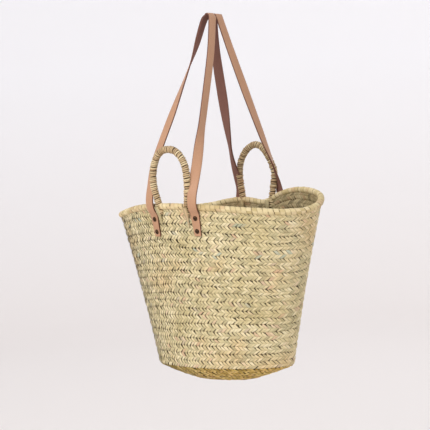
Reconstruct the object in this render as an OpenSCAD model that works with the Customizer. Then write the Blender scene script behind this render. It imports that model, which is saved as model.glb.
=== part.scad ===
// Woven market basket: a spirally sewn palm-leaf basket with an oval mouth, a whipped rim,
// two short rope handles and two long riveted leather straps.
// The origin is the middle of the flat standing oval. X runs along the mouth, -Y is the front.

/* [Body] */
// Outside length of the mouth
mouth_l = 494; // [470:2:510]
// Outside depth of the mouth
mouth_d = 276; // [264:2:286]
// Outside length of the wall where it meets the bottom
foot_l = 328; // [300:2:350]
// Outside depth of the wall where it meets the bottom
foot_d = 176; // [160:2:190]
// Height of the wall, from the bottom's edge to the top of the rim
wall_h = 330; // [310:2:350]
// How far the wall's side hangs inside a straight taper
hollow = 0.19; // [0:0.01:0.3]
// Thickness of the plaited wall and bottom
wall_t = 6; // [5:0.5:7]
// Width of one plaited course
course_w = 16; // [14:1:20]
// How far the bottom bulges below the wall's edge
bottom_h = 30; // [24:1:36]
// Size of the flat standing oval, as a share of the bottom
stand_share = 0.42; // [0.35:0.01:0.55]
// Radius of the palm cord that sews the courses together
seam_r = 1.4; // [1:0.1:1.5]

/* [Rim] */
// Radius of the whipped rim
rim_r = 6.5; // [6:0.1:7]
// Radius of the rope inside the rim
rim_core_r = 4; // [3:0.1:4.5]
// How much higher the rear of the rim stands than the front, each way from the middle
rim_lift = 6; // [0:1:8]
// How much the two ends of the rim sag below its long sides
rim_sag = 6; // [0:1:8]
// Height of the rim's three slack waves
rim_wave = 8; // [0:1:9]
// Height of its four small ripples
rim_ripple = 3; // [0:1:4]
// Depth of the dent between the rear handle's feet
rear_dent = 9; // [0:1:10]
// How far the rear of the rim droops to the left of the dent
left_droop = 14; // [0:1:15]
// How far it stands up just to the left of the dent
left_rise = 7; // [0:0.5:8]
// How far it stands up to the right of the dent
right_rise = 6; // [0:0.5:7]

/* [Handles] */
// Radius of the wrapped rope handle
handle_r = 6.5; // [6:0.1:7]
// Radius of the rope inside the handle
handle_core_r = 4.2; // [3:0.1:4.6]
// Half the distance between a handle's feet
handle_foot = 36; // [34:1:37]
// Half the widest width of the front handle, on the rope's middle line
front_shoulder_w = 43.5; // [42:0.5:44.5]
// Height of its widest place over its feet
front_shoulder_h = 63; // [56:1:66]
// Half the widest width of the rear handle
rear_shoulder_w = 45.5; // [43:0.5:46]
// Height of its widest place
rear_shoulder_h = 50; // [46:1:56]
// How far the foot of a handle stands outward of the rim's middle
handle_out = 3; // [2:0.5:4]
// How far the front handle leans outward, in degrees
front_lean = 5; // [4:0.5:7]
// How far the rear handle leans outward, in degrees
rear_lean = 2; // [1:0.5:4]
// Length of a handle's pointed tail on the outside of the wall
outer_tail = 44; // [36:1:50]
// Length of its tail on the inside
inner_tail = 30; // [24:1:36]

/* [Straps] */
// Width of a leather strap
strap_w = 20; // [18:0.5:21]
// Width of the leather at its riveted tips
tip_w = 15; // [14:0.5:18]
// Thickness of the leather
strap_t = 3; // [2.5:0.1:3.2]
// Distance of the front strap's ends from the middle
front_anchor = 53; // [52:0.5:54]
// Distance of the rear strap's ends from the middle
rear_anchor = 57; // [56:0.5:58]
// Depth of the upper rivet below the rim
rivet_depth = 28; // [27:0.5:30]
// Distance between the two rivets of an end
rivet_pitch = 26; // [24:0.5:28]
// Leather below the lower rivet
end_margin = 9; // [8:0.5:12]
// Radius of a rivet's domed head
rivet_r = 5; // [4:0.1:5.5]
// Radius at which the strap leather bends over
bend_r = 11; // [10.5:0.5:12.5]

/* [Hidden] */

front = -1;
rear = 1;
left = -1;
right = 1;

// Facets: steps round the oval and along each line, rings up a wall, sides round a rope
round_steps = 64;
wall_rings = 7;
bottom_rings = 5;
rim_sides = 10;
rope_sides = 10;
leg_steps = 6;
side_steps = 7;
crown_steps = 4;
cord_steps = 30;
cord_sides = 4;
strap_steps = 60;
tail_rings = 9;
tail_sides = 8;
fine = 48;

rim_mean = bottom_h + wall_h;
rim_bite = 1.1;      // how far the wall's edge is drawn up into the whipping
skin_gap = 0.1;      // room between a core and its wrapping
face_gap = 0.3;      // room between the wall and what lies on it
bulge_full = 0.3;    // how much fuller the bottom is than a cone

// Places round the rim, in degrees from +X: where each hump or dip is, and its half width
dent_at = [85, 7];
droop_at = [138, 28];
left_rise_at = [105, 12];
right_rise_at = [66, 15];
wave_phase = 20;
ripple_phase = 144;

front_level = 3;     // height of the front strap's anchors over the mean rim
rear_level = -1;
joint_gap = 1.8;     // between a riveted end and the bend of its strap
strap_rise = 5.5;    // leather above the upper rivet, up to the bend
post_r = 2;          // rivet post
hole_r = 2.05;
head_h = 3;
burr_r = 4.5;
burr_t = 1;
peen_r = 2.8;
peen_h = 0.8;
foot_gap = 2.6;      // between the rim and the foot of a handle loop
front_side_r = 48;   // radius of a loop's side above its shoulder
front_sweep = 60;    // and the angle it turns through before the crown
rear_side_r = 68;
rear_sweep = 52;
tail_r = 4.2;        // thickest radius of a handle's tail
tail_tip_r = 1.2;
tail_full = 0.3;     // share of its length over which it keeps that radius
tail_bend = 15;      // where a tail has come down over the rim to the wall
front_twist = 1.6;   // how late along its run the front strap turns its face
rear_twist = 0.45;

// Middle line of each strap's right run above its bend, heights counted from the mean rim
front_run = [[55.5, -141, -10], [58, -144, 5], [62, -143.5, 20], [62, -136, 40], [60.5, -126, 63],
    [56, -110, 100], [43.5, -76, 180], [30, -40, 258], [15, -7, 338], [8.5, 5, 376]];
front_top = [0, 8, 391];
rear_run = [[58.5, 143, -12], [61, 147, 4], [62, 145, 19], [62.5, 136, 39], [59, 128, 62],
    [50, 113, 105], [40, 91, 180], [29, 67, 258], [14, 48, 338], [7.5, 40, 376]];
rear_top = [0, 38, 390];

function mix(a, b, k) = a + (b - a) * k;
function unit(v) = v / norm(v);

// --- The oval wall -------------------------------------------------------------------

// Share of the widening that is reached at share v of the wall's height
function widening(v) = v - hollow * v * (1 - v);
function widening_rate(v) = 1 - hollow * (1 - 2 * v);
function half_l(v) = mix(foot_l, mouth_l, widening(v)) / 2;
function half_d(v) = mix(foot_d, mouth_d, widening(v)) / 2;

// A smooth hump of height 1, spot = [where, half width]
function hump(t, spot) = exp(-pow((t - spot[0]) / spot[1], 2));
// Height of the rim's top at t degrees from +X towards +Y
function rim_top(t) = rim_mean
    + rim_lift * sin(t)
    - rim_sag * cos(2 * t) + rim_sag / 2 * sin(2 * t)
    + rim_wave * sin(3 * t - wave_phase)
    + rim_ripple * sin(4 * t - ripple_phase)
    - rear_dent * hump(t, dent_at)
    - left_droop * hump(t, droop_at)
    + left_rise * hump(t, left_rise_at)
    + right_rise * hump(t, right_rise_at);
function share_up(z) = (z - bottom_h) / wall_h;
function wall_point(t, z, inset) =
    let (v = share_up(z))
    [(half_l(v) - inset) * cos(t), (half_d(v) - inset) * sin(t), z];
function wall_top(t) = rim_top(t) - 2 * rim_r + rim_bite;
// Direction in which the wall faces at t, in degrees from +X
function facing(t) = atan2(half_l(1) * sin(t), half_d(1) * cos(t));
function outward(t) = [cos(facing(t)), sin(facing(t)), 0];

// --- Surfaces made of rings of points -------------------------------------------------

// Triangles between n rings of m points; round joins the last ring to the first
function ring_faces(n, m, round) = [
    for (i = [0 : n - (round ? 1 : 2)], j = [0 : m - 1])
        let (a = i * m + j, b = i * m + (j + 1) % m,
            c = (i + 1) % n * m + (j + 1) % m, d = (i + 1) % n * m + j)
        each [[a, b, c], [a, c, d]]];
function end_faces(n, m) = [
    [for (j = [m - 1 : -1 : 0]) j],
    [for (j = [0 : m - 1]) (n - 1) * m + j]];

module ring_solid(rings, round) {
    n = len(rings);
    m = len(rings[0]);
    polyhedron(
        points = [for (ring = rings) each ring],
        faces = concat(ring_faces(n, m, round), round ? [] : end_faces(n, m)));
}

module wall_plait() {
    heights = [for (i = [0 : wall_rings - 1]) i / (wall_rings - 1)];
    function level(k, inset) = [
        for (i = [0 : round_steps - 1])
            let (t = 360 * i / round_steps)
            wall_point(t, mix(bottom_h, wall_top(t), k), inset)];
    color("#d8c78e")
    ring_solid(concat(
        [for (i = [0 : wall_rings - 1]) level(heights[i], wall_t)],
        [for (i = [wall_rings - 1 : -1 : 0]) level(heights[i], 0)]), true);
}

module bottom_plait() {
    function drop(u) = (1 - u) * (1 - bulge_full * u);
    function level(u, inset, floor_z) = [
        for (i = [0 : round_steps - 1])
            let (t = 360 * i / round_steps, s = mix(1, stand_share, u))
            [(half_l(0) - inset) * s * cos(t), (half_d(0) - inset) * s * sin(t),
                mix(floor_z, bottom_h, drop(u))]];
    color("#b8a35a")
    ring_solid(concat(
        [for (i = [bottom_rings : -1 : 0]) level(i / bottom_rings, wall_t, wall_t)],
        [for (i = [0 : bottom_rings]) level(i / bottom_rings, 0, 0)]), false);
}

// One tube section of radius r round p, standing square to the wall's run at t
function section(p, t, r, sides) = [
    for (j = [0 : sides - 1])
        let (q = 360 * j / sides)
        p + r * (cos(q) * outward(t) + sin(q) * [0, 0, 1])];

module seam_cord() {
    turns = floor((wall_h - 2 * rim_r) / course_w) - 1;
    count = turns * cord_steps;
    color("#8a7440")
    ring_solid([
        for (i = [0 : count])
            let (t = 360 * i / cord_steps,
                z = mix(bottom_h + course_w, wall_top(t) - course_w, i / count))
            section(wall_point(t, z, wall_t / 2), t, seam_r, cord_sides)], false);
}

module rim_tube(r) {
    ring_solid([
        for (i = [0 : round_steps - 1])
            let (t = 360 * i / round_steps)
            section(wall_point(t, rim_top(t) - rim_r, wall_t / 2), t, r, rim_sides)], true);
}

module rim_core() {
    color("#a88f52") rim_tube(rim_core_r);
}

module rim_wrap() {
    color("#e3d39b")
    difference() {
        rim_tube(rim_r);
        rim_tube(rim_core_r + skin_gap);
    }
}

// --- Places on the wall ---------------------------------------------------------------

// Angle round the oval of the wall point x from the middle, at share v up
function place(side, x, v) = side * acos(x / half_l(v));
// Slope of the wall there, away from upright
function slope(t, v) = atan(
    widening_rate(v) / wall_h / 2
    * ((mouth_l - foot_l) * cos(t) * cos(facing(t)) + (mouth_d - foot_d) * sin(t) * sin(facing(t))));

// Puts a part on the wall: +X out of the wall, +Z up along it
module on_wall(t, z) {
    v = share_up(z);
    translate(wall_point(t, z, 0))
    rotate([0, slope(t, v), facing(t)])
    children();
}

// --- Rope handles ---------------------------------------------------------------------

function handle_t(side, hand) = place(side, hand * handle_foot, 1);
function handle_y(side) = wall_point(handle_t(side, right), rim_mean - rim_r, wall_t / 2)[1];
function handle_z(side) =
    let (edge = place(side, handle_foot + handle_r, 1), middle = side * 90)
    max(rim_top(edge), rim_top(2 * middle - edge)) + foot_gap;

// Stretches of a handle's middle line: a leg, a side and half of the crown, each an arc
function leg_turn(w, h) = 2 * atan((w - handle_foot) / h);
function arc_points(x, z, r, from, to, steps) = [
    for (i = [0 : steps - 1])
        let (a = mix(from, to, i / steps))
        [x + r * cos(a), z + r * sin(a), a]];

// Right half of the middle line from its foot at z = 0, as [x, z, direction away from the hand]
function half_loop(w, h, side_r, sweep) =
    let (turn = leg_turn(w, h), leg_r = h / sin(turn),
        top_x = w - side_r * (1 - cos(sweep)), top_r = top_x / cos(sweep),
        top_z = h + side_r * sin(sweep) - top_r * sin(sweep))
    concat(arc_points(w - leg_r, h, leg_r, -turn, 0, leg_steps),
        arc_points(w - side_r, h, side_r, 0, sweep, side_steps),
        arc_points(0, top_z, top_r, sweep, 90, crown_steps),
        [[0, top_z + top_r, 90]]);
function whole_loop(side) =
    let (half = side == front
            ? half_loop(front_shoulder_w, front_shoulder_h, front_side_r, front_sweep)
            : half_loop(rear_shoulder_w, rear_shoulder_h, rear_side_r, rear_sweep),
        n = len(half))
    concat(half, [for (i = [n - 2 : -1 : 0]) [-half[i][0], half[i][1], 180 - half[i][2]]]);

// A rope of radius r along the loop, stopping skip points short of each foot
module handle_rope(side, r, skip) {
    line = whole_loop(side);
    translate([0, handle_y(side) + side * handle_out, handle_z(side)])
    rotate([-side * (side == front ? front_lean : rear_lean), 0, 0])
    ring_solid([
        for (i = [skip : len(line) - 1 - skip])
            let (p = line[i])
            [for (j = [0 : rope_sides - 1])
                let (q = 360 * j / rope_sides)
                [p[0] + r * cos(q) * cos(p[2]), -r * sin(q), p[1] + r * cos(q) * sin(p[2])]]], false);
}

module handle_wrap(side) {
    color("#dccb93")
    difference() {
        handle_rope(side, handle_r, 0);
        handle_rope(side, handle_core_r + skin_gap, 1);
    }
}

module front_handle_core() {
    color("#a88f52") handle_rope(front, handle_core_r, 1);
}

module front_handle_wrap() {
    handle_wrap(front);
}

module rear_handle_core() {
    color("#a88f52") handle_rope(rear, handle_core_r, 1);
}

module rear_handle_wrap() {
    handle_wrap(rear);
}

// A tail that comes down over the rim and lies along one face of the wall; way is 1 outside
module tail(side, hand, length, way) {
    t = handle_t(side, hand);
    over_rim = rim_r + (way > 0 ? -wall_t / 2 : wall_t / 2 - wall_t) + face_gap;
    // Distance off the wall's face and radius of the tail at share k of its length
    function radius(k) = mix(tail_r, tail_tip_r, max(0, (k - tail_full) / (1 - tail_full)));
    function lift(k) = face_gap + over_rim * max(0, 1 - k * length / tail_bend);
    // Rounded ends: a small ring before the first and after the last
    shares = [for (i = [0 : tail_rings]) i / tail_rings];
    middle = [for (k = shares) [lift(k) + radius(k), -k * length, radius(k)]];
    tip = middle[tail_rings];
    rings = concat(
        [[middle[0][0], tail_r / 2, tail_r / 2]], middle,
        [[tip[0], tip[1] - tail_tip_r / 2, tail_tip_r / 2]]);
    on_wall(t, rim_top(t) - rim_r)
    translate([way > 0 ? 0 : -wall_t, 0, 0])
    mirror([way > 0 ? 0 : 1, 0, 0])
    ring_solid([
        for (p = rings) [
            for (j = [0 : tail_sides - 1])
                let (q = 360 * j / tail_sides)
                [p[0] + p[2] * cos(q), p[2] * sin(q), p[1]]]], false);
}

module outer_tail_at(side, hand) {
    color("#cdbb80") tail(side, hand, outer_tail, 1);
}

module inner_tail_at(side, hand) {
    color("#cdbb80") tail(side, hand, inner_tail, -1);
}

module front_left_outer_tail() { outer_tail_at(front, left); }
module front_right_outer_tail() { outer_tail_at(front, right); }
module rear_left_outer_tail() { outer_tail_at(rear, left); }
module rear_right_outer_tail() { outer_tail_at(rear, right); }
module front_left_inner_tail() { inner_tail_at(front, left); }
module front_right_inner_tail() { inner_tail_at(front, right); }
module rear_left_inner_tail() { inner_tail_at(rear, left); }
module rear_right_inner_tail() { inner_tail_at(rear, right); }

// --- Leather straps -------------------------------------------------------------------

function anchor_x(side) = side == front ? front_anchor : rear_anchor;
function anchor_z(side) = rim_mean + (side == front ? front_level : rear_level) - rivet_depth;
function anchor_v(side) = share_up(anchor_z(side));
function anchor_t(side, hand) = place(side, hand * anchor_x(side), anchor_v(side));

module at_anchor(side, hand) {
    on_wall(anchor_t(side, hand), anchor_z(side)) children();
}

// Middle of the leather of a right-hand end, rise above its upper rivet
function leather_at(side, rise) =
    let (t = anchor_t(side, right), z = anchor_z(side), k = slope(t, share_up(z)))
    wall_point(t, z, 0)
    + (face_gap + strap_t / 2) * (cos(k) * outward(t) - [0, 0, sin(k)])
    + rise * (sin(k) * outward(t) + [0, 0, cos(k)]);

// A point on the line, along X, that a strap folds down about
function strap_axis(side) =
    let (k = slope(anchor_t(side, right), share_up(anchor_z(side))))
    leather_at(side, strap_rise + joint_gap) + bend_r * [0, side * cos(k), -sin(k)];
// A point on the line, along X, that a handle bends about: the middle of the rim
function handle_axis(side) = [0, handle_y(side), handle_z(side) - foot_gap - rim_r];

// Points along the right run of a strap, from its upper rivet to the last before the top
function right_run(side) = concat(
    [leather_at(side, 0), leather_at(side, strap_rise + joint_gap)],
    [for (p = side == front ? front_run : rear_run) p + [0, 0, rim_mean]]);
function whole_run(side) =
    let (half = right_run(side), n = len(half),
        top = (side == front ? front_top : rear_top) + [0, 0, rim_mean])
    concat(half, [top], [for (i = [n - 1 : -1 : 0]) [-half[i][0], half[i][1], half[i][2]]]);

// Smooth curve through points p, at x counted in points from p[1]
function spline(p, x) =
    let (i = min(floor(x), len(p) - 4), u = x - i,
        a = p[i], b = p[i + 1], c = p[i + 2], d = p[i + 3])
    (2 * b + (c - a) * u + (2 * a - 5 * b + 4 * c - d) * u * u
        + (3 * b - a - 3 * c + d) * u * u * u) / 2;

// Direction across the strap at share s of its length
function across(side, s) =
    let (yaw = 90 + facing(anchor_t(front, right)),
        half = 1 - abs(2 * s - 1),
        turn = yaw + (90 - yaw) * pow(half, side == front ? front_twist : rear_twist),
        angle = (s < 0.5) == (side == front) ? turn : 180 - turn)
    [cos(angle), sin(angle), 0];

module strap(side) {
    run = whole_run(side);
    last = len(run) - 3;
    function middle(i) = spline(run, last * i / strap_steps);
    color("#c99a78")
    ring_solid([
        for (i = [0 : strap_steps])
            let (c = middle(i),
                along = unit(middle(min(i + 0.5, strap_steps)) - middle(max(i - 0.5, 0))),
                raw = across(side, i / strap_steps),
                wide = unit(raw - (raw * along) * along) * strap_w / 2,
                thick = unit(cross(along, wide)) * strap_t / 2)
            [c + wide - thick, c - wide - thick, c - wide + thick, c + wide + thick]], false);
}

module front_strap() { strap(front); }
module rear_strap() { strap(rear); }

module strap_end(side, hand) {
    tip_z = -rivet_pitch - end_margin;
    color("#c99a78")
    at_anchor(side, hand)
    difference() {
        translate([face_gap, 0, 0])
        rotate([90, 0, 90])
        linear_extrude(strap_t)
        polygon([
            [-strap_w / 2, strap_rise], [-tip_w / 2, tip_z],
            [tip_w / 2, tip_z], [strap_w / 2, strap_rise]]);
        for (z = [0, -rivet_pitch])
            translate([-face_gap, 0, z])
            rotate([0, 90, 0])
            cylinder(h = strap_t + 3 * face_gap, r = hole_r, $fn = fine);
    }
}

module front_left_strap_end() { strap_end(front, left); }
module front_right_strap_end() { strap_end(front, right); }
module rear_left_strap_end() { strap_end(rear, left); }
module rear_right_strap_end() { strap_end(rear, right); }

// --- Rivets ---------------------------------------------------------------------------

// A domed head outside the leather, its post through leather and wall, and the peened end
module rivet() {
    head_x = face_gap + strap_t;
    end_x = -wall_t - 2 * face_gap - burr_t;
    ball_r = (rivet_r * rivet_r + head_h * head_h) / (2 * head_h);
    rotate([0, 90, 0]) {
        translate([0, 0, end_x]) cylinder(h = head_x - end_x, r = post_r, $fn = fine);
        translate([0, 0, end_x - peen_h]) cylinder(h = peen_h, r = peen_r, $fn = fine);
        translate([0, 0, head_x])
        intersection() {
            translate([0, 0, head_h - ball_r]) sphere(r = ball_r, $fn = fine);
            cylinder(h = head_h, r = rivet_r, $fn = fine);
        }
    }
}

module rivets(side, hand) {
    color("#4a3a2c")
    at_anchor(side, hand)
    for (z = [0, -rivet_pitch]) translate([0, 0, z]) rivet();
}

module burrs(side, hand) {
    color("#6b5236")
    at_anchor(side, hand)
    for (z = [0, -rivet_pitch])
        translate([-wall_t - 2 * face_gap - burr_t, 0, z])
        rotate([0, 90, 0])
        difference() {
            cylinder(h = burr_t, r = burr_r, $fn = fine);
            translate([0, 0, -burr_t]) cylinder(h = 3 * burr_t, r = hole_r, $fn = fine);
        }
}

module front_left_rivets() { rivets(front, left); }
module front_right_rivets() { rivets(front, right); }
module rear_left_rivets() { rivets(rear, left); }
module rear_right_rivets() { rivets(rear, right); }
module front_left_burrs() { burrs(front, left); }
module front_right_burrs() { burrs(front, right); }
module rear_left_burrs() { burrs(rear, left); }
module rear_right_burrs() { burrs(rear, right); }

bottom_plait();
wall_plait();
seam_cord();
rim_core();
rim_wrap();
front_handle_core();
front_handle_wrap();
rear_handle_core();
rear_handle_wrap();
front_left_outer_tail();
front_left_inner_tail();
front_right_outer_tail();
front_right_inner_tail();
rear_left_outer_tail();
rear_left_inner_tail();
rear_right_outer_tail();
rear_right_inner_tail();
front_strap();
rear_strap();
front_left_strap_end();
front_right_strap_end();
rear_left_strap_end();
rear_right_strap_end();
front_left_rivets();
front_right_rivets();
rear_left_rivets();
rear_right_rivets();
front_left_burrs();
front_right_burrs();
rear_left_burrs();
rear_right_burrs();
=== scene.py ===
"""Looks of a woven palm-leaf market basket with rope handles and riveted leather straps.

Every piece is built as mesh from the basket's own sizes, in metres, in the frame of the
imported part.
"""

from math import cos, pi, radians, sin

import bpy
import numpy as np
from mathutils import Matrix, Vector


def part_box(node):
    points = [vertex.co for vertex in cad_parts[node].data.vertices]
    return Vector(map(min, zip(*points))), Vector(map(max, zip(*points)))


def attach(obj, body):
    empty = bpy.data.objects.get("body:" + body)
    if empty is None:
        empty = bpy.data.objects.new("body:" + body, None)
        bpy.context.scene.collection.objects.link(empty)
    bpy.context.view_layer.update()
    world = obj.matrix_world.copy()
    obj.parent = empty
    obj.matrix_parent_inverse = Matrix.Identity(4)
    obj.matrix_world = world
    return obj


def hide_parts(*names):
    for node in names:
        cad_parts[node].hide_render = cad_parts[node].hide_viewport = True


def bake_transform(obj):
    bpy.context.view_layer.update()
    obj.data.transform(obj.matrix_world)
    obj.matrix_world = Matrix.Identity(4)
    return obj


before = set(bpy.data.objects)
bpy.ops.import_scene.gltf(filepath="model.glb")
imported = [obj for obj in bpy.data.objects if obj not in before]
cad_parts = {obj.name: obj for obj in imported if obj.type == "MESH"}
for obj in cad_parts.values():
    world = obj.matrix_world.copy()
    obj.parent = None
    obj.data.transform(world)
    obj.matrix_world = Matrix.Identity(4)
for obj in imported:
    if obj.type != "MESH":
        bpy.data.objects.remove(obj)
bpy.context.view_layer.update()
rng = np.random.default_rng(7)
MM = 0.001

# --- Sizes ----------------------------------------------------------------------------

foot_low, foot_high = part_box("bottom_plait")
BOTTOM_H = foot_high.z  # height at which the wall starts
HALF_FOOT = (foot_high.x, foot_high.y)
HALF_MOUTH = (0.247, 0.138)
WALL_H = 0.330
WALL_T = 0.006
HOLLOW = 0.19  # how far the wall curves in between foot and mouth
STAND_SHARE = 0.42  # share of the bottom that stands on the ground
BULGE = 0.3  # how much fuller the bottom is than a cone

RIM_MEAN = BOTTOM_H + WALL_H
RIM_R = 0.0065
RIM_LIFT, RIM_SAG, RIM_WAVE, RIM_RIPPLE = 0.006, 0.006, 0.008, 0.003
# Humps and dips of the rim: where, in degrees from +X, half width in degrees, and height
RIM_HUMPS = [(85, 7, -0.009), (138, 28, -0.014), (105, 12, 0.007), (66, 15, 0.006)]

WALL_ROWS = 21  # plait rows up the wall
BASE_ROWS = 6
LEAF_PITCH = 0.0081  # along a row, from leaf to leaf
LEAF_COVER = 0.98  # share of the pitch that a leaf covers
LEAF_SLANT = 44  # degrees from the row's run
LEAF_RISE = 0.0010
ROW_CROWN = 0.0009
ROW_WAVER = 0.09  # how far rows wander up and down, as a share of a row
PINCHED = 0.45  # share of the leaves that are drawn in at the seam
LEAF_SINK = LEAF_RISE + ROW_CROWN  # so that the highest leaves lie in the wall's true face

RIM_PITCH = 0.0104  # from wrap to wrap, as HANDLE_PITCH
RIM_BEAD, RIM_UNEVEN = 0.0007, 0.05  # height of a wrap, and how irregular the wraps are
RIM_COVER = 1.6 * RIM_R  # how far below its top the rim hides the plait
WAVE_PHASE, RIPPLE_PHASE = radians(20), radians(144)

HANDLE_R = 0.0073
HANDLE_CORE_R = 0.0046
HANDLE_PITCH = 0.0040
HANDLE_BEAD, HANDLE_UNEVEN = 0.0017, 0.14
HANDLE_FOOT_X, HANDLE_FOOT_Y = 0.036, 0.1344
TAIL_STRANDS = 5
TAIL_R, TAIL_TIP_R = 0.0042, 0.0012
TAIL_BEND = 0.015  # where a tail has come down over the rim to the wall
OUTER_TAIL, INNER_TAIL = 0.044, 0.030
FACE_GAP = 0.0003  # room between the wall and what lies on it

STRAP_W, STRAP_TIP_W, STRAP_T = 0.020, 0.015, 0.003
STRAP_TAPER = (-62, -20)  # heights over the mean rim, in mm, between which the tips widen
STRAP_EDGE = 0.0006  # how far the leather's edges are rounded off


# --- Numbers --------------------------------------------------------------------------


def mix(a, b, k):
    return a + (b - a) * k


def unit(v):
    return v / np.linalg.norm(v, axis=-1, keepdims=True)


def spline(points, steps):
    """Smooth curve through points, steps to a stretch, as an array of points."""
    p = np.array(points, float)
    p = np.vstack([2 * p[0] - p[1], p, 2 * p[-1] - p[-2]])
    u = np.linspace(0, 1, steps, endpoint=False)[:, None]
    out = []
    for a, b, c, d in zip(p[:-3], p[1:-2], p[2:-1], p[3:]):
        square = 2 * a - 5 * b + 4 * c - d
        cube = 3 * b - a - 3 * c + d
        out.append((2 * b + (c - a) * u + square * u**2 + cube * u**3) / 2)
    return np.vstack([*out, p[-2][None]])


def lengths(points):
    """Distance along a polyline at each of its points."""
    step = np.linalg.norm(np.diff(points, axis=0), axis=1)
    return np.concatenate([[0], np.cumsum(step)])


def along(points, s):
    """Points at distances s along a polyline."""
    run = lengths(points)
    return np.stack([np.interp(s, run, points[:, i]) for i in range(3)], -1)


# --- The basket's surface -------------------------------------------------------------


def half_sizes(up):
    wide = up - HOLLOW * up * (1 - up)
    return mix(HALF_FOOT[0], HALF_MOUTH[0], wide), mix(HALF_FOOT[1], HALF_MOUTH[1], wide)


def rim_top(t):
    """Height of the rim's top at angle t from +X towards +Y."""
    turn = np.degrees(t) % 360
    humps = sum(high * np.exp(-(((turn - at) / width) ** 2)) for at, width, high in RIM_HUMPS)
    return (
        RIM_MEAN
        + RIM_LIFT * np.sin(t)
        - RIM_SAG * np.cos(2 * t)
        + RIM_SAG / 2 * np.sin(2 * t)
        + RIM_WAVE * np.sin(3 * t - WAVE_PHASE)
        + RIM_RIPPLE * np.sin(4 * t - RIPPLE_PHASE)
        + humps
    )


def wall_at(t, z, inset=0.0):
    a, b = half_sizes((z - BOTTOM_H) / WALL_H)
    return np.stack([(a - inset) * np.cos(t), (b - inset) * np.sin(t), z + 0 * t], -1)


def base_at(t, inward):
    """Point of the underside, inward from its edge."""
    x = (HALF_FOOT[0] - inward) * np.cos(t)
    y = (HALF_FOOT[1] - inward) * np.sin(t)
    share = np.hypot(x / HALF_FOOT[0], y / HALF_FOOT[1])
    u = np.clip((1 - share) / (1 - STAND_SHARE), 0, 1)
    return np.stack([x, y, BOTTOM_H * (1 - u) * (1 - BULGE * u)], -1)


def skin(t, row):
    """Outer surface of the plait: row 0 starts at the bottom's edge, rows below 0 lie under it."""
    top = rim_top(t) - RIM_COVER
    share = np.clip(row / WALL_ROWS, 0, 1)
    waver = np.sin(3 * t + 1.7 * row) + 0.7 * np.sin(8 * t - 0.9 * row)
    row = row + ROW_WAVER * np.sin(pi * share) * waver
    wall = wall_at(t, mix(BOTTOM_H, top, np.maximum(row, 0) / WALL_ROWS))
    base = base_at(t, np.clip(-row, 0, BASE_ROWS) * HALF_FOOT[1] / BASE_ROWS)
    return np.where((row >= 0)[..., None], wall, base)


def skin_normal(t, row):
    step = 0.02
    run = skin(t + step, row) - skin(t - step, row)
    rise = skin(t, row + step) - skin(t, row - step)
    return unit(np.cross(run, rise))


def on_skin(t, row, lift):
    return skin(t, row) + lift[..., None] * skin_normal(t, row)


def even_turn(row):
    """Angles as a function of distance along a row: its length, and a lookup."""
    t = np.linspace(0, 2 * pi, 1441)
    run = lengths(skin(t, np.full_like(t, row)))
    return run[-1], lambda s: np.interp(s % run[-1], run, t)


# --- Meshes ---------------------------------------------------------------------------


def grid_faces(rows, columns, start=0):
    """Quads of a grid of points, row after row."""
    i, j = np.meshgrid(np.arange(rows - 1), np.arange(columns - 1), indexing="ij")
    a = start + i * columns + j
    return np.stack([a, a + 1, a + columns + 1, a + columns], -1).reshape(-1, 4)


def add_mesh(name, points, faces, material, **attributes):
    """Mesh object from arrays; each attribute is one value or one vector per point."""
    mesh = bpy.data.meshes.new(name)
    mesh.from_pydata(points.reshape(-1, 3).tolist(), [], faces.tolist())
    for key, values in attributes.items():
        kind = "FLOAT_VECTOR" if np.ndim(values) > 1 else "FLOAT"
        field = "vector" if kind == "FLOAT_VECTOR" else "value"
        flat = np.ravel(values).astype(np.float32)
        mesh.attributes.new(key, kind, "POINT").data.foreach_set(field, flat)
    mesh.polygons.foreach_set("use_smooth", np.ones(len(mesh.polygons), bool))
    mesh.materials.append(material)
    mesh.update()
    obj = bpy.data.objects.new(name, mesh)
    bpy.context.scene.collection.objects.link(obj)
    return obj


def settle(obj, body, slot, *nodes):
    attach(obj, body)
    finish_piece(obj, slot, *nodes)


def finish_piece(obj, slot, *nodes):
    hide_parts(*nodes)


# --- Materials ------------------------------------------------------------------------


def colour(text):
    """Linear colour from a six-figure code."""
    parts = [int(text[i : i + 2], 16) / 255 for i in (0, 2, 4)]
    return [c / 12.92 if c < 0.04045 else ((c + 0.055) / 1.055) ** 2.4 for c in parts] + [1]


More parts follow.
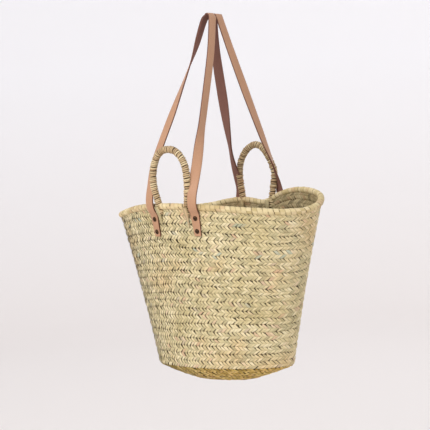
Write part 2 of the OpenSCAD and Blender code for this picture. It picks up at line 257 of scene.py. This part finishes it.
class Nodes:
    """A material's node tree, with short names for what is built most."""

    def __init__(self, name):
        self.material = bpy.data.materials.new(name)
        self.material.use_nodes = True
        self.tree = self.material.node_tree
        self.shader = self.tree.nodes["Principled BSDF"]

    def add(self, kind, inputs=None, **settings):
        node = self.tree.nodes.new("ShaderNode" + kind)
        for key, value in settings.items():
            setattr(node, key, value)
        for key, value in (inputs or {}).items():
            if isinstance(value, bpy.types.NodeSocket):
                self.tree.links.new(value, node.inputs[key])
            else:
                node.inputs[key].default_value = value
        return node

    def attribute(self, name):
        return self.add("Attribute", attribute_name=name)

    def math(self, operation, a, b=0.0, clamp=False):
        return self.add("Math", {0: a, 1: b}, operation=operation, use_clamp=clamp).outputs[0]

    def noise(self, vector, scale, detail=2.0, rough=0.5):
        return self.add(
            "TexNoise", {"Vector": vector, "Scale": scale, "Detail": detail, "Roughness": rough}
        ).outputs["Fac"]

    def stretch(self, vector, scale):
        return self.add("VectorMath", {0: vector, 1: scale}, operation="MULTIPLY").outputs[0]

    def place(self):
        return self.add("TexCoord").outputs["Object"]

    def ramp(self, value, stops):
        node = self.add("ValToRGB", {"Fac": value})
        ramp = node.color_ramp
        while len(ramp.elements) < len(stops):
            ramp.elements.new(1)
        for element, (position, text) in zip(ramp.elements, stops):
            element.position = position
            element.color = colour(text)
        return node.outputs["Color"]

    def blend(self, amount, a, b, mode="MIX"):
        node = self.add("Mix", data_type="RGBA", blend_type=mode)
        for socket, value in ((node.inputs[0], amount), (node.inputs[6], a), (node.inputs[7], b)):
            if isinstance(value, bpy.types.NodeSocket):
                self.tree.links.new(value, socket)
            else:
                socket.default_value = value
        return node.outputs[2]

    def bump(self, height, strength, distance):
        inputs = {"Height": height, "Strength": strength, "Distance": distance}
        return self.add("Bump", inputs).outputs[0]

    def finish(self, **inputs):
        for key, value in inputs.items():
            socket = self.shader.inputs[key.replace("_", " ")]
            if isinstance(value, bpy.types.NodeSocket):
                self.tree.links.new(value, socket)
            else:
                socket.default_value = value
        return self.material


def leaf_material(name, stops, patch_stops, patch_amount, shade="6f6038", crease_shade_amount=0.5, power=5.0):
    """Dried palm leaf: one tone to a leaf, fibre streaks along it, and painted shade on its edges
    and tip, in the creases where leaves and wraps meet.
    """
    n = Nodes(name)
    leaf = n.add("SeparateXYZ", {0: n.attribute("leaf").outputs["Vector"]}).outputs
    tone = n.ramp(n.attribute("tone").outputs["Fac"], stops)
    patches = n.noise(n.place(), 9.0, 3.0, 0.6)
    patch = n.ramp(patches, patch_stops)
    base = n.blend(patch_amount, tone, patch, "MULTIPLY")
    along_leaf = n.stretch(n.attribute("leaf").outputs["Vector"], (1.2, 6.0, 60.0))
    streaks = n.noise(along_leaf, 2.0, 3.0, 0.7)
    light = n.ramp(streaks, [(0.3, "c9c2ae"), (0.7, "ffffff")])
    base = n.blend(0.55, base, light, "MULTIPLY")
    # Painted shade: the leaf's side edges and its tucked-under tip are blended towards the shade
    # colour.
    edge = n.math("POWER", n.math("ABSOLUTE", leaf[1]), power, True)
    tip = n.math("MULTIPLY", n.math("SUBTRACT", leaf[0], 0.42), 3.5, True)
    dark = n.math("MULTIPLY", n.math("ADD", edge, tip, True), crease_shade_amount, True)
    base = n.blend(dark, base, colour(shade))
    normal = n.bump(streaks, 0.35, 0.0006)
    return n.finish(Base_Color=base, Roughness=0.62, Normal=normal, Specular_IOR_Level=0.35)


def cord_material(name, dark, light):
    """Twisted palm cord: fine slanted fibres, light over dark."""
    n = Nodes(name)
    fibres = n.noise(n.stretch(n.place(), (1.0, 1.0, 2.6)), 900.0, 2.0, 0.6)
    patches = n.noise(n.place(), 30.0, 2.0)
    base = n.blend(fibres, colour(dark), colour(light))
    base = n.blend(n.math("MULTIPLY", patches, 0.5), base, colour(dark))
    normal = n.bump(fibres, 0.6, 0.0008)
    return n.finish(Base_Color=base, Roughness=0.85, Normal=normal)


def leather_material(name, face, back, edge):
    """Vegetable-tanned strap: smooth face, suede back and burnished edges."""
    n = Nodes(name)
    side = n.attribute("side").outputs["Fac"]
    grain = n.noise(n.place(), 1400.0, 2.0, 0.6)
    clouds = n.noise(n.stretch(n.place(), (1.0, 1.0, 0.35)), 28.0, 3.0, 0.6)
    front = n.blend(n.math("MULTIPLY", clouds, 0.8), colour(face), colour("b08462"))
    skin_side = n.ramp(side, [(0.0, "ffffff"), (0.45, "000000")])
    rim_side = n.ramp(side, [(0.55, "000000"), (0.9, "ffffff")])
    base = n.blend(skin_side, colour(edge), front)
    base = n.blend(rim_side, base, colour(back))
    base = n.blend(0.35, base, n.ramp(grain, [(0.35, "b5aca5"), (0.65, "ffffff")]), "MULTIPLY")
    rough = n.add("MapRange", {"Value": side, "To Min": 0.52, "To Max": 0.9}).outputs[0]
    normal = n.bump(grain, 0.25, 0.0004)
    return n.finish(Base_Color=base, Roughness=rough, Normal=normal, Specular_IOR_Level=0.4)


def metal_material(name, dark, light, rough):
    """Antiqued metal: brown lacquer worn bright in random patches."""
    n = Nodes(name)
    wear = n.noise(n.place(), 420.0, 4.0, 0.65)
    base = n.ramp(wear, [(0.42, dark), (0.68, light)])
    dull = n.add("MapRange", {"Value": wear, "To Min": rough + 0.15, "To Max": rough}).outputs[0]
    normal = n.bump(wear, 0.2, 0.0003)
    return n.finish(Base_Color=base, Metallic=0.85, Roughness=dull, Normal=normal)


def paper_material(name, low, high, rough):
    """Studio paper, a shade warmer and darker on the floor than on the wall: painted shade that
    grows towards the floor, broken up by soft clouds.
    """
    n = Nodes(name)
    height = n.add("SeparateXYZ", {0: n.place()}).outputs[2]
    level = n.add("MapRange", {"Value": height, "From Min": -0.6, "From Max": 1.0}).outputs[0]
    cloud = n.math("MULTIPLY", n.noise(n.place(), 0.6, 1.0), 0.1)
    # Painted shade: the paper darkens from high to low, unevenly by the clouds.
    base = n.blend(n.math("SUBTRACT", level, cloud, True), colour(low), colour(high))
    return n.finish(Base_Color=base, Roughness=rough)


WALL_TONES = [
    (0.00, "c2b68e"),
    (0.10, "cdc39c"),
    (0.26, "dacda2"),
    (0.50, "e4d6aa"),
    (0.74, "ecdeb4"),
    (0.90, "f4e9c4"),
    (0.95, "dfbf9e"),
    (1.00, "c6cbb4"),
]
# Darker tones for the inside face of the wall: painted shade inside the basket.
SHADED_INNER_TONES = [(0.0, "85795a"), (0.3, "a99a74"), (0.8, "c2b28a"), (1.0, "a68866")]
BASE_TONES = [(0.0, "b0933f"), (0.4, "d6b962"), (0.8, "efd588"), (1.0, "c8985a")]
RIM_TONES = [(0.0, "d0bd8c"), (0.4, "e2d0a2"), (0.8, "efdfb6"), (1.0, "d4b88e")]
ROPE_TONES = [(0.0, "bfa27c"), (0.4, "dac097"), (0.8, "f3dfb5"), (1.0, "c6a680")]
PATCHES = [(0.30, "e6dfc8"), (0.50, "ffffff"), (0.66, "faeadb"), (0.80, "f4dcc8")]
# The last three arguments give each leaf's painted shade in its creases and grooves: its colour,
# its strength and how narrow it is.
wall_leaf = leaf_material("wall_leaf", WALL_TONES, PATCHES, 0.7, "6f5a38", 0.55, 7.0)
inner_leaf_shaded = leaf_material("inner_leaf_shaded", SHADED_INNER_TONES, PATCHES, 0.8, "4f4226", 0.6)
base_leaf = leaf_material("base_leaf", BASE_TONES, PATCHES, 0.6, "4f3f1c")
rim_leaf = leaf_material("rim_leaf", RIM_TONES, PATCHES, 0.5, "6b4a2c", 0.6, 9.0)
rope_leaf = leaf_material("rope_leaf", ROPE_TONES, PATCHES, 0.6, "35240f", 1.0, 2.2)
# A dark colour that paints the shade in the gaps between the leaves.
under_leaf_shade = cord_material("under_leaf_shade", "33271a", "655234")
cord_fibre = cord_material("cord_fibre", "4a3820", "8a7048")
leather = leather_material("leather", "c99b7b", "8f665a", "6a4032")
bronze = metal_material("bronze", "2b2018", "6a4c33", 0.38)
burr_metal = metal_material("burr_metal", "4a3826", "94734c", 0.42)
shaded_stage_paper = paper_material("shaded_stage_paper", "efe9e5", "fafafc", 0.9)


# --- Plait ----------------------------------------------------------------------------


def leaf_row(row, face, length, turn):
    """Points and attributes of every leaf in one row. face is 1 outside and -1 inside."""
    count = round(length / LEAF_PITCH)
    pitch = length / count
    half_row = (WALL_H / WALL_ROWS) / 2
    lean = half_row / np.tan(radians(LEAF_SLANT))
    u = np.array([-0.06, 0.10, 0.36, 0.66, 0.92, 1.20])
    rise = np.array([-0.45, 0.45, 0.9, 1.0, 0.7, -0.5]) * LEAF_RISE - LEAF_SINK
    c = np.array([-1.0, -0.6, 0.6, 1.0])
    tilt = np.array([-0.5, -0.2, 0.05, 0.1]) * LEAF_RISE
    points, leaf, tone = [], [], []
    row_tone = rng.normal(0, 0.03)
    for half in (0, 1):
        i = np.arange(count)[:, None, None]
        cover = LEAF_COVER * rng.uniform(0.90, 1.04, (count, 1, 1))
        pinched = rng.random((count, 1, 1)) < PINCHED
        tight = rng.uniform(0.2, 0.6, (count, 1, 1))
        loose = rng.uniform(0.85, 1.0, (count, 1, 1))
        pinch = np.where(pinched, tight, loose)
        narrow = mix(pinch, 1.0, np.clip(u / 0.4, 0, 1)[None, :, None])
        shift = rng.normal(0, 0.065, (count, 1, 1))
        s = pitch * (i + half * 0.5 + shift) + lean * u[None, :, None]
        s = s + c[None, None, :] * pitch / 2 * cover * narrow
        across = 0.5 * u[None, :, None] + 0 * s
        place = row + (1 - across if half else across)
        lift = rise[None, :, None] + tilt[None, None, :] * rng.uniform(0.3, 1.5, (count, 1, 1))
        lift = lift + rng.normal(0, 0.00028, (count, 1, 1))
        lift = lift + ROW_CROWN * (1 - (2 * np.abs(place - row - 0.5)) ** 2)
        points.append(on_skin(turn(s), place, lift if face > 0 else -WALL_T - lift))
        own = rng.random((count, 1, 1))
        spot = np.broadcast_arrays(u[None, :, None] - 0.5, c[None, None, :], own + half)
        leaf.append(np.stack(spot, -1))
        tone.append(np.broadcast_to(np.clip(own * 0.98 + row_tone, 0, 1), s.shape))
    return np.concatenate(points), np.concatenate(leaf), np.concatenate(tone)


def leaf_piece(name, row, face, material):
    length, turn = even_turn(row + 0.5)
    points, leaf, tone = leaf_row(row, face, length, turn)
    count, rows, columns = points.shape[:3]
    one = grid_faces(rows, columns)
    faces = (one[None] + np.arange(count)[:, None, None] * rows * columns).reshape(-1, 4)
    half = len(faces) // 2
    turned = slice(half, None) if face > 0 else slice(half)
    faces[turned] = faces[turned, ::-1]
    return add_mesh(name, points, faces, material, leaf=leaf.reshape(-1, 3), tone=tone.ravel())


def build_plait():
    for row in range(-BASE_ROWS, WALL_ROWS):
        low = row < 0
        node = "bottom_plait" if low else "wall_plait"
        outer = base_leaf if low else wall_leaf
        label = f"base_row_{-row}" if low else f"wall_row_{row + 1}"
        for face, side, material in ((1, "outer", outer), (-1, "inner", inner_leaf_shaded)):
            obj = leaf_piece(f"{label}_{side}", row, face, material)
            settle(obj, "basket", "bottom_leaf" if low else "wall_leaf", node)


def build_shaded_under_plait():
    """One sheet in the middle of the wall for the strands that pass under the leaves, seen only in
    the gaps between them, where its dark colour is painted shade.
    """
    t = np.linspace(0, 2 * pi, 241)
    for name, first, last, node in (
        ("wall_under_plait_shade", 0, WALL_ROWS, "wall_plait"),
        ("base_under_plait_shade", -BASE_ROWS, 0, "bottom_plait"),
    ):
        rows = np.linspace(first, last, 2 * (last - first) + 1)
        T, R = np.meshgrid(t, rows)
        sheet = on_skin(T, R, np.full(T.shape, -WALL_T / 2))
        obj = add_mesh(name, sheet, grid_faces(len(rows), len(t)), under_leaf_shade)
        settle(obj, "basket", "wall_leaf", node)


# --- Rope -----------------------------------------------------------------------------


def tube(path, reference, s, angle, radius):
    """Points round a path at distances s and angles, both arrays of one shape."""
    run = lengths(path)
    tangent = unit(np.gradient(path, run, axis=0))
    side = unit(np.cross(tangent, reference))
    other = np.cross(side, tangent)
    vectors = (path, side, other)
    at = [np.stack([np.interp(s, run, v[:, i]) for i in range(3)], -1) for v in vectors]
    round_it = np.cos(angle)[..., None] * at[1] + np.sin(angle)[..., None] * at[2]
    return at[0] + radius[..., None] * round_it


def whipped_rope(name, path, reference, radius, pitch, depth, material, uneven, closed=False):
    """Rope under a close whipping: one bead to a turn, each slanting by its own width."""
    total = lengths(path)[-1]
    turns = round(total / pitch)
    pitch = total / turns
    beads = np.arange(turns + (0 if closed else 1))
    across, round_ = np.linspace(0, 1, 7), np.linspace(0, 2 * pi, 19)
    B, F, P = np.meshgrid(beads, across, round_, indexing="ij")
    one_each = (len(beads), 1, 1)
    shift = uneven * (rng.normal(0, 0.6, one_each) + np.sin(P + rng.uniform(0, 2 * pi, one_each)))
    S = pitch * (B + F - P / (2 * pi) + shift)
    S = S % total if closed else np.clip(S, 0, total)
    swell = rng.normal(0, 0.02 + 0.15 * uneven, one_each)
    bead = np.sqrt(np.clip(1 - (2 * F - 1) ** 2, 0, 1))
    points = tube(path, reference, S, P, radius * (1 + swell) - depth + depth * bead)
    tone = np.broadcast_to(rng.random(one_each), S.shape)
    own = np.broadcast_to(rng.random(one_each), S.shape)
    leaf = np.stack([0 * F, 2 * F - 1, own + P * 0.02], -1)
    one = grid_faces(*S.shape[1:])[:, ::-1]
    faces = (one[None] + (beads * S[0].size)[:, None, None]).reshape(-1, 4)
    return add_mesh(name, points, faces, material, leaf=leaf.reshape(-1, 3), tone=tone.ravel())


def plain_rope(name, path, reference, radius, material):
    s = np.linspace(0, lengths(path)[-1], 160)
    S, P = np.meshgrid(s, np.linspace(0, 2 * pi, 13), indexing="ij")
    points = tube(path, reference, S, P, np.full(S.shape, radius))
    return add_mesh(name, points, grid_faces(*S.shape)[:, ::-1], material)


def build_rim():
    t = np.linspace(0, 2 * pi, 721)
    path = wall_at(t, rim_top(t) - RIM_R, WALL_T / 2)
    up = (0, 0, 1)
    sizes = (RIM_R, RIM_PITCH, RIM_BEAD)
    obj = whipped_rope("rim_whipping", path, up, *sizes, rim_leaf, RIM_UNEVEN, closed=True)
    settle(obj, "basket", "rim_leaf", "rim_wrap")


# Right half of each handle's middle line: out from the middle, outward of the wall's middle
# plane, and height over the mean rim, in mm
FRONT_LOOP = [
    (34.5, 134.6, -16),
    (36.0, 134.8, 0),
    (40.6, 137.9, 20),
    (44.2, 140.6, 44),
    (42.8, 141.0, 70),
    (36.2, 141.6, 90),
    (24.0, 142.4, 104.5),
    (12.0, 142.8, 110.5),
    (0, 143.0, 112),
]
REAR_LOOP = [
    (37.0, 133.2, -18),
    (38.7, 133.4, 0),
    (42.4, 134.2, 20),
    (46.3, 135.8, 46),
    (45.3, 135.2, 60),
    (38.6, 133.2, 80),
    (26.0, 133.8, 99),
    (13.0, 135.4, 109),
    (0, 136.0, 112.5),
]


def handle_path(side, half):
    """Middle line of a handle from its left foot to its right; side is -1 in front, 1 behind."""
    left = [(-x, side * y, z) for x, y, z in half]
    right = [(x, side * y, z) for x, y, z in half[-2::-1]]
    return spline(left + right, 24) * MM + (0, 0, RIM_MEAN)


def build_handle(name, side, half):
    path = handle_path(side, half)
    through = (0, 1, 0)
    sizes = (HANDLE_R, HANDLE_PITCH, HANDLE_BEAD)
    wrap = whipped_rope(name + "_whipping", path, through, *sizes, rope_leaf, HANDLE_UNEVEN)
    core = plain_rope(name + "_rope", path, through, HANDLE_CORE_R, cord_fibre)
    for obj, slot, node in ((wrap, "handle_leaf", "_wrap"), (core, "palm_rope", "_core")):
        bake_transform(obj)
        finish_piece(obj, slot, name + node)


def tail_radius(k):
    """A tail keeps its thickness for 0.3 of its length k, then narrows to its tip."""
    return mix(TAIL_R, TAIL_TIP_R, np.clip((k - 0.3) / 0.7, 0, 1))


def tail_line(side, hand, reach, way, k):
    """Middle line of a tail over the rim and down one face of the wall; way is 1 outside."""
    turn = side * np.arccos(hand * HANDLE_FOOT_X / HALF_MOUTH[0])
    z = rim_top(turn) - RIM_R - k * reach
    over_rim = RIM_R - WALL_T / 2 + FACE_GAP
    lift = FACE_GAP + over_rim * np.clip(1 - k * reach / TAIL_BEND, 0, 1) + tail_radius(k)
    outward = unit(np.array([np.cos(turn) / HALF_MOUTH[0], np.sin(turn) / HALF_MOUTH[1], 0]))
    return wall_at(turn, z, 0 if way > 0 else WALL_T) + way * lift[:, None] * outward


def build_tail(name, side, hand, reach, way):
    """Strands of the handle's rope, laid side by side, each ending at its own place."""
    k = np.linspace(0, 1, 25)
    K, P = np.meshgrid(k, np.linspace(0, 2 * pi, 10), indexing="ij")
    line = tail_line(side, hand, reach, way, k)
    strands, leaf, tone = [], [], []
    for i in range(TAIL_STRANDS):
        end = rng.uniform(0.82, 1.0)
        twist = 2 * pi * i / TAIL_STRANDS + 1.5 * k
        centre = tube(line, (1, 0, 0), k * end * reach, twist, 0.45 * tail_radius(k))
        thick = (0.5 * tail_radius(K) + 0.0002) * np.clip((1.02 - K) * 8, 0, 1) ** 0.5
        strands.append(tube(centre, (1, 0, 0), K * lengths(centre)[-1], P, thick))
        leaf.append(np.stack([K - 0.6, np.cos(P), 0 * K + rng.random()], -1))
        tone.append(np.full(K.shape, rng.random()))
    one = grid_faces(*K.shape)[:, ::-1]
    faces = (one[None] + (np.arange(TAIL_STRANDS) * K.size)[:, None, None]).reshape(-1, 4)
    looks = {"leaf": np.reshape(leaf, (-1, 3)), "tone": np.ravel(tone)}
    obj = add_mesh(name + "_strands", np.array(strands), faces, wall_leaf, **looks)
    settle(obj, "basket", "palm_rope", name)


def build_tails():
    for side, place in ((-1, "front"), (1, "rear")):
        for hand, half in ((-1, "left"), (1, "right")):
            build_tail(f"{place}_{half}_outer_tail", side, hand, OUTER_TAIL, 1)
            build_tail(f"{place}_{half}_inner_tail", side, hand, INNER_TAIL, -1)


# --- Leather --------------------------------------------------------------------------

# Middle line of each strap's right run, from its tip up: out from the middle, y, and height
# over the mean rim, in mm
FRONT_RUN = [
    (52.5, -125.6, -60.5),
    (53.0, -129.6, -38),
    (53.4, -133.2, -18),
    (54.6, -139.6, -8),
    (55.4, -143.0, 4),
    (55.8, -141.7, 20),
    (56.1, -136.0, 40),
    (56.5, -122.9, 80),
    (51.3, -105.7, 120),
    (38.8, -67.9, 200),
    (22.8, -22.2, 300),
    (12.0, 1.0, 365),
    (6.5, 8.0, 378),
    (0, 8.0, 383.5),
]
REAR_RUN = [
    (56.4, 124.5, -64.5),
    (57.0, 128.6, -41),
    (57.4, 132.2, -22),
    (56.4, 138.6, -10),
    (54.8, 142.7, 2),
    (52.1, 141.7, 20),
    (52.2, 135.7, 40),
    (51.5, 121.1, 80),
    (46.1, 106.1, 120),
    (34.5, 80.1, 200),
    (20.8, 48.3, 300),
    (9.5, 32.5, 365),
    (5.5, 32.0, 377),
    (0, 34.0, 382.5),
]
# How the leather's width turns along each run: height over the mean rim in mm, and degrees
# from +X
FRONT_RIGHT = [(0, 7), (30, 15), (65, 40), (105, 62), (150, 95), (250, 92), (391, 90)]
FRONT_LEFT = [(0, 173), (180, 172), (205, 160), (245, 143), (287, 130), (328, 100), (391, 90)]
REAR_RIGHT = [(0, 173), (30, 160), (65, 130), (95, 108), (130, 95), (230, 82), (391, 90)]
REAR_LEFT = [
    (0, 7), (50, -10), (80, -30), (105, -42), (140, -20), (180, 7), (240, 50), (300, 72), (391, 90)
]


def strap_path(run):
    points = run + [(-x, y, z) for x, y, z in run[-2::-1]]
    return spline(points, 14) * MM + (0, 0, RIM_MEAN)


def strap_section():
    """Outline of the leather, across and through, with its side: 0 face, 0.5 edge, 1 back."""
    w, h, e = STRAP_W / 2, STRAP_T / 2, STRAP_EDGE
    face = [(x * (w - e), h, 0) for x in (-1, -0.5, 0, 0.5, 1)]
    right = [(w, h - e, 0.5), (w, e - h, 0.5)]
    back = [(x * (w - e), -h, 1) for x in (1, 0.5, 0, -0.5, -1)]
    left = [(-w, e - h, 0.5), (-w, h - e, 0.5)]
    return np.array(face + right + back + left)


def strap_width_way(middle, right_turns, left_turns):
    """Unit vectors across the strap at each point of its middle line."""
    high = (middle[:, 2] - RIM_MEAN) / MM
    right = np.interp(high, *np.transpose(right_turns))
    left = np.interp(high, *np.transpose(left_turns))
    angle = np.radians(np.where(middle[:, 0] > 0, right, left))
    reach = np.hanning(17)
    angle = np.convolve(np.pad(angle, 8, "edge"), reach / reach.sum(), "valid")
    return np.stack([np.cos(angle), np.sin(angle), 0 * angle], -1)


def build_strap(name, side, run, right_turns, left_turns):
    path = strap_path(run)
    line = lengths(path)
    middle = along(path, np.linspace(0, line[-1], 260))
    ahead = unit(np.gradient(middle, axis=0))
    wide = strap_width_way(middle, right_turns, left_turns)
    wide = unit(wide - (wide * ahead).sum(-1, keepdims=True) * ahead)
    thick = unit(np.cross(ahead, wide))
    outward = np.sign(thick[0, 1]) * side
    section = np.vstack([strap_section(), strap_section()[:1]])
    high = (middle[:, 2] - RIM_MEAN) / MM
    wide = wide * np.interp(high, STRAP_TAPER, [STRAP_TIP_W / STRAP_W, 1])[:, None]
    points = (
        middle[:, None]
        + section[None, :, 0:1] * wide[:, None]
        + section[None, :, 1:2] * thick[:, None] * outward
    )
    faces = grid_faces(len(middle), len(section))
    if outward > 0:
        faces = faces[:, ::-1]
    kinds = np.broadcast_to(section[:, 2], points.shape[:2])
    obj = add_mesh(name + "_leather", points, faces, leather, side=kinds.ravel())
    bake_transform(obj)
    finish_piece(obj, "strap_leather", name, name.replace("strap", "left_strap_end"))
    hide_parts(name.replace("strap", "right_strap_end"))


# --- Metal ----------------------------------------------------------------------------


def dress_nodes():
    """Materials of the CAD nodes that show as they are."""
    looks = {"rivets": bronze, "burrs": burr_metal, "rim_core": cord_fibre, "seam_cord": cord_fibre}
    for node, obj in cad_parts.items():
        for part, material in looks.items():
            if node.endswith(part):
                obj.data.materials.clear()
                obj.data.materials.append(material)


# --- Stage, light and camera ----------------------------------------------------------

AZIMUTH, ELEVATION, ROLL = radians(40), radians(2.48), radians(3.13)
DISTANCE = 3.134
LENS, SENSOR = 128.5, 36  # in mm
OFF_RIGHT, OFF_UP = -0.0055, -0.002  # where the camera stands off the line to AIM
AIM = Vector((0, 0, 0.335))
FLOOR_Z = -0.5
WORLD_POWER = 0.81


def build_stage():
    """A seamless pale bowl: floor, cove and wall, turned round the basket."""
    cove = [(5.0 + 1.6 * sin(a), 1.6 - 1.6 * cos(a)) for a in np.linspace(0, pi / 2, 9)]
    profile = [(0.001, 0), (2.5, 0)] + cove + [(6.6, 4.5)]
    a = np.linspace(0, 2 * pi, 97)
    points = [[(r * cos(q), r * sin(q), FLOOR_Z + z) for q in a] for r, z in profile]
    faces = grid_faces(len(profile), len(a))
    add_mesh("studio_bowl", np.array(points), faces, shaded_stage_paper)


def add_light(name, place, aim, size, power, tint):
    data = bpy.data.lights.new(name, "AREA")
    data.shape = "DISK"
    data.size = size
    data.energy = power
    data.color = tint
    obj = bpy.data.objects.new(name, data)
    obj.location = place
    obj.rotation_euler = (aim - Vector(place)).to_track_quat("-Z", "Y").to_euler()
    bpy.context.scene.collection.objects.link(obj)


def build_lights():
    world = bpy.data.worlds.new("studio")
    world.use_nodes = True
    background = world.node_tree.nodes["Background"]
    background.inputs["Color"].default_value = (0.95, 0.96, 1.0, 1)
    background.inputs["Strength"].default_value = WORLD_POWER
    bpy.context.scene.world = world
    add_light("key", (0.0, -3.6, 2.7), AIM, 1.6, 92, (1.0, 0.98, 0.95))
    add_light("fill", (3.4, -1.2, 1.6), AIM, 2.4, 14, (1.0, 0.97, 0.93))
    add_light("backdrop", (-0.4, 2.6, 3.6), Vector((-3.4, 5.8, 0.8)), 2.0, 30, (0.99, 0.98, 1.0))


def build_camera():
    level = Vector((cos(AZIMUTH), sin(AZIMUTH), 0))
    back = Vector((sin(AZIMUTH) * cos(ELEVATION), -cos(AZIMUTH) * cos(ELEVATION), sin(ELEVATION)))
    upright = back.cross(level)
    right = cos(ROLL) * level - sin(ROLL) * upright
    up = sin(ROLL) * level + cos(ROLL) * upright
    place = AIM + OFF_RIGHT * right + OFF_UP * up + DISTANCE * back
    data = bpy.data.cameras.new("camera")
    data.sensor_width = SENSOR
    data.lens = LENS
    camera = bpy.data.objects.new("camera", data)
    turn = Matrix((right, up, back)).transposed().to_4x4()
    camera.matrix_world = Matrix.Translation(place) @ turn
    bpy.context.scene.collection.objects.link(camera)
    bpy.context.scene.camera = camera
    bpy.context.scene.view_settings.view_transform = "Standard"


build_camera()
build_lights()
build_stage()
build_shaded_under_plait()
build_plait()
build_rim()
build_handle("front_handle", -1, FRONT_LOOP)
build_handle("rear_handle", 1, REAR_LOOP)
build_tails()
build_strap("front_strap", -1, FRONT_RUN, FRONT_RIGHT, FRONT_LEFT)
build_strap("rear_strap", 1, REAR_RUN, REAR_RIGHT, REAR_LEFT)
dress_nodes()
